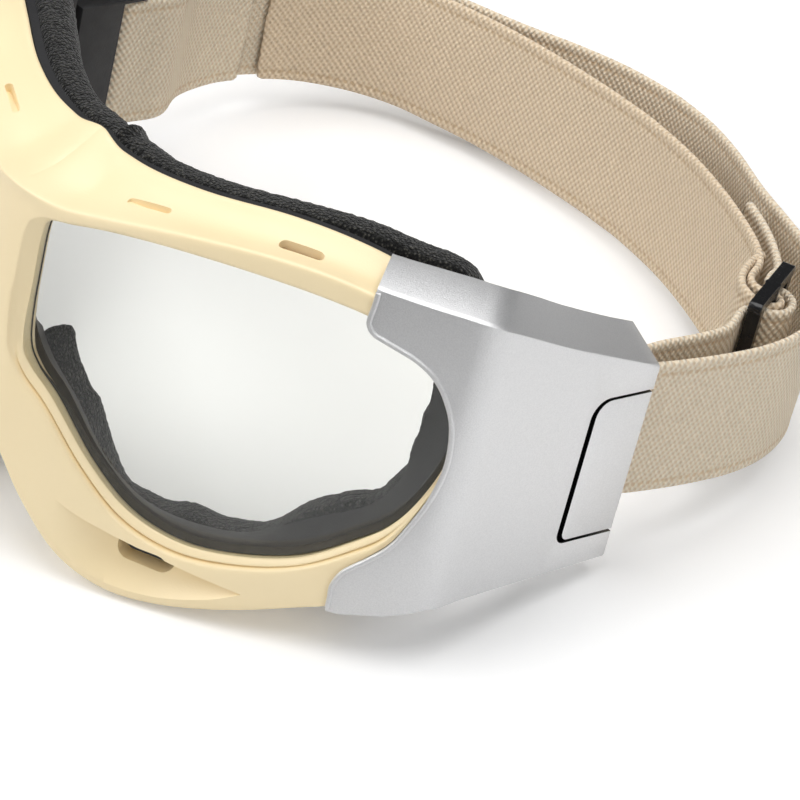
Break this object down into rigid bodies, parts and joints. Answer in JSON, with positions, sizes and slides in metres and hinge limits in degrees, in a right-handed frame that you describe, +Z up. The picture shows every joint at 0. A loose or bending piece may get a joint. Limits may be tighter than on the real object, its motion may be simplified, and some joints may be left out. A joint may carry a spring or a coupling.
{
  "type": "protective sports glasses",
  "caption": "Protective sports glasses with a curved cream frame, clear lenses, a foam face seal, silver side arms with release buttons, and a webbing head strap.",
  "frame": {"origin": "middle of the bounding box in X and Y, on the surface that the glasses stand on", "axes": "+X is the wearer's left, +Y runs from the lenses back to the strap, +Z is up"},
  "size_m": [0.1374, 0.1522, 0.0666],
  "materials": {
    "frame": "satin cream moulded plastic",
    "lens": "clear polycarbonate",
    "seal": "matt black rubber",
    "carrier": "matt black moulded plastic",
    "foam": "charcoal foam with a napped face",
    "filter": "brown filter foam",
    "mesh": "black mesh",
    "arm": "satin metallic silver paint",
    "cover": "matt black moulded plastic",
    "screw": "plain steel",
    "clip": "matt black moulded plastic",
    "pin": "plain steel",
    "button": "satin metallic silver paint",
    "spring": "spring steel wire",
    "slider": "black moulded plastic",
    "strap": "beige woven elastic webbing",
    "band": "beige woven elastic webbing"
  },
  "bodies": {
    "front": {"front_frame": "frame", "lens_left": "lens", "lens_right": "lens", "lens_seal_left": "seal", "lens_seal_right": "seal", "carrier": "carrier", "face_foam": "foam", "brow_filter_left": "filter", "brow_filter_right": "filter", "cheek_mesh_left": "mesh", "cheek_mesh_right": "mesh", "arm_left": "arm", "arm_right": "arm", "arm_cover_left": "cover", "arm_cover_right": "cover", "arm_screw_left": "screw", "arm_screw_right": "screw"},
    "strap": {"clip_left": "clip", "clip_right": "clip", "anchor_pin_left": "pin", "anchor_pin_right": "pin", "slider_left": "slider", "outer_strap": "strap", "inner_strap": "band", "button_spring_left": "spring", "button_spring_right": "spring"},
    "button_left": {"button_left": "button"},
    "button_right": {"button_right": "button"}
  },
  "joints": [
    {"name": "strap_slide", "type": "slide", "parent": "front", "child": "strap", "axis": [0, 0.9663, -0.2576], "range_m": [0, 0.017]},
    {"name": "button_left_press", "type": "slide", "parent": "strap", "child": "button_left", "axis": [-1, 0, 0], "range_m": [0, 0.0009], "stiffness_N_per_m": 500, "springref_m": -0.001, "deforming": ["button_spring_left"]},
    {"name": "button_right_press", "type": "slide", "parent": "strap", "child": "button_right", "axis": [1, 0, 0], "range_m": [0, 0.0009], "stiffness_N_per_m": 500, "springref_m": -0.001, "deforming": ["button_spring_right"]}
  ]
}
